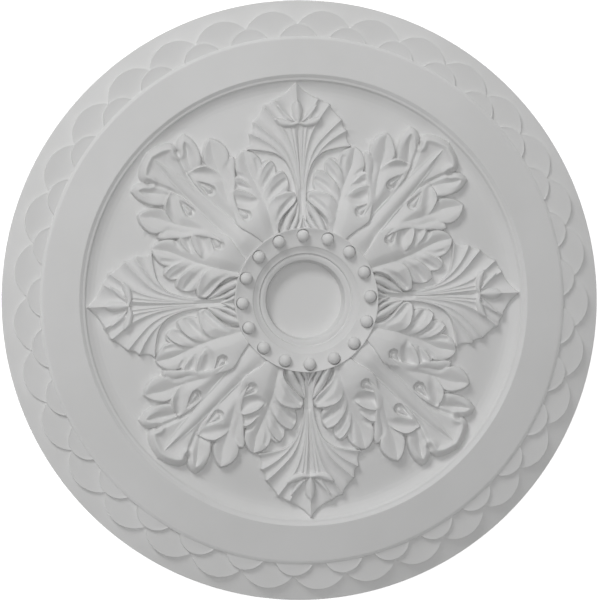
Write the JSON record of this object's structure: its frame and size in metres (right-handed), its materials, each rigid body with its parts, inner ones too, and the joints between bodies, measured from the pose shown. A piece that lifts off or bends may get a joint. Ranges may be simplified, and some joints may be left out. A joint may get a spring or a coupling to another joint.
{
  "type": "ceiling rose",
  "caption": "Round white ceiling rose: a border of overlapping scales, a plain band, a dished bed with acanthus leaves in low relief, and a beaded boss around a shallow round recess.",
  "frame": {"origin": "centre of the flat back, where the rose meets the ceiling", "axes": "+Z out of the moulded face; +Y towards the leaf that is uppermost in the picture, which stands 2 degrees anticlockwise of it. The rose lies face up on its back; fixed to a ceiling it is turned over, so that +Z points down."},
  "size_m": [0.6, 0.6, 0.0616],
  "materials": {
    "primed_foam": "rigid polyurethane foam, factory primed matt white"
  },
  "bodies": {
    "root": {"ceiling_rose": "primed_foam"}
  },
  "joints": []
}
